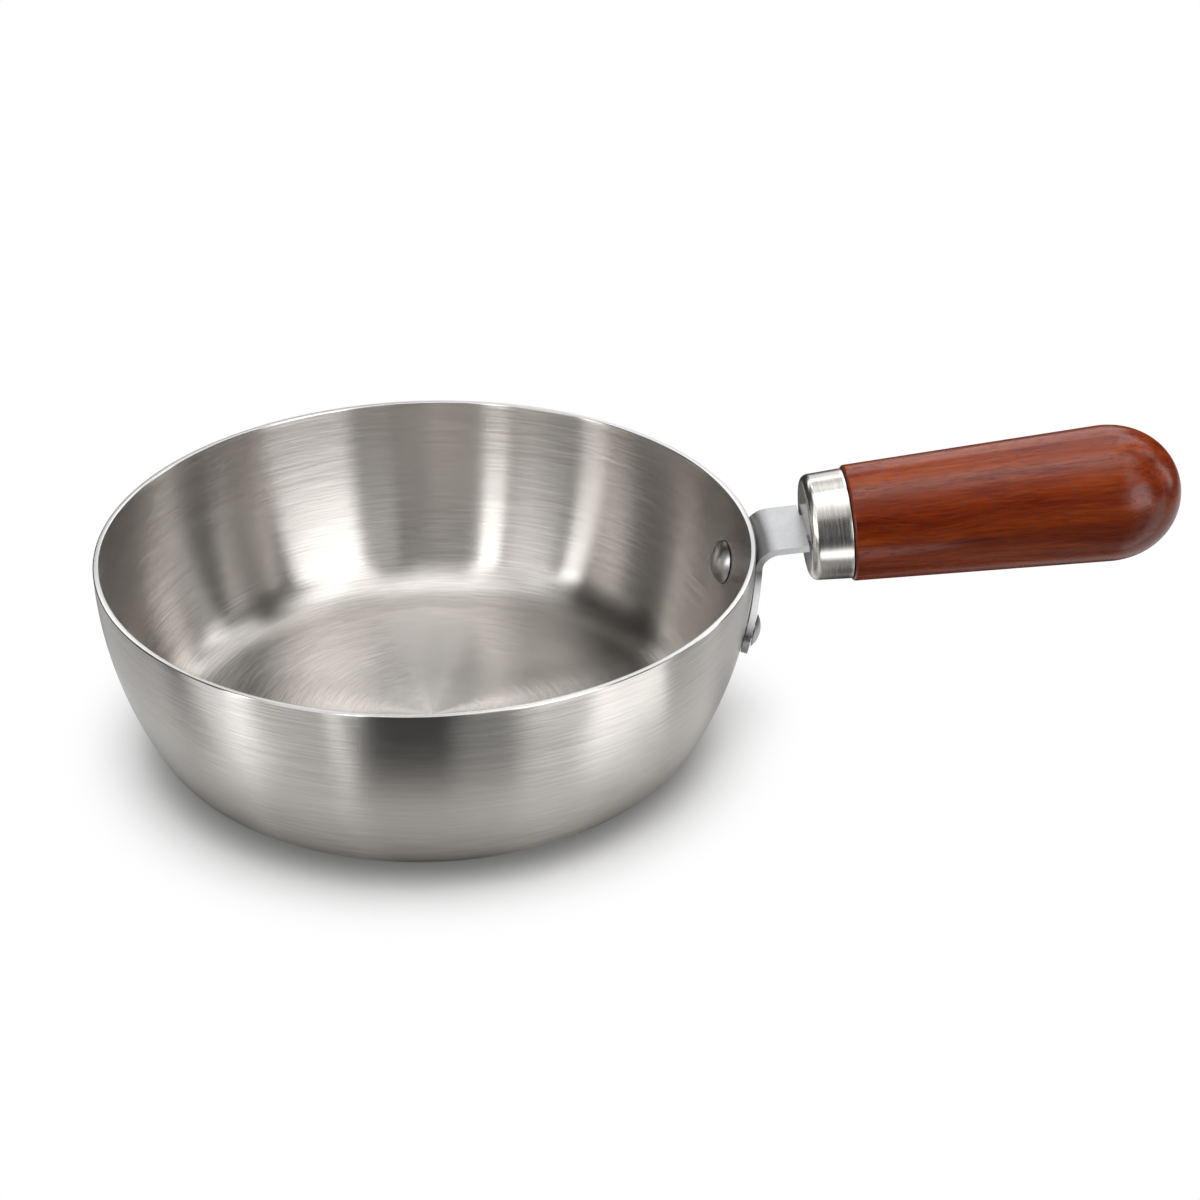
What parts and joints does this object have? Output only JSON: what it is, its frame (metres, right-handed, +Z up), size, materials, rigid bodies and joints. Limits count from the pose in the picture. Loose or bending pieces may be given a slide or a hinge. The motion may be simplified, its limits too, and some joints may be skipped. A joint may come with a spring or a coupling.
{
  "type": "saucepan",
  "caption": "Open steel saucepan with a flat floor, a flaring curved wall and a turned wooden grip held by a riveted strap bracket and a steel ferrule.",
  "frame": {"origin": "centre of the pan's flat base, on the surface that it stands on", "axes": "+X from the bowl's axis towards the grip, +Y across the handle, +Z up out of the bowl"},
  "size_m": [0.3318, 0.2, 0.0928],
  "materials": {
    "satin_steel": "brushed in circles about the pan's axis, with a polished rim",
    "strap_steel": "satin, pressed sheet with plain cut edges",
    "rivet_steel": "smooth, lightly polished heads",
    "polished_steel": "polished, with faint turning lines",
    "red_wood": "close-grained red-brown hardwood, oiled to a soft gloss",
    "fixing_steel": "plain bright steel"
  },
  "bodies": {
    "root": {"pan_body": "satin_steel", "handle_bracket": "strap_steel", "rivet_left": "rivet_steel", "rivet_right": "rivet_steel", "ferrule": "polished_steel", "grip": "red_wood", "tang_nut": "fixing_steel", "grip_screw": "fixing_steel", "screw_washer": "fixing_steel"}
  },
  "joints": []
}
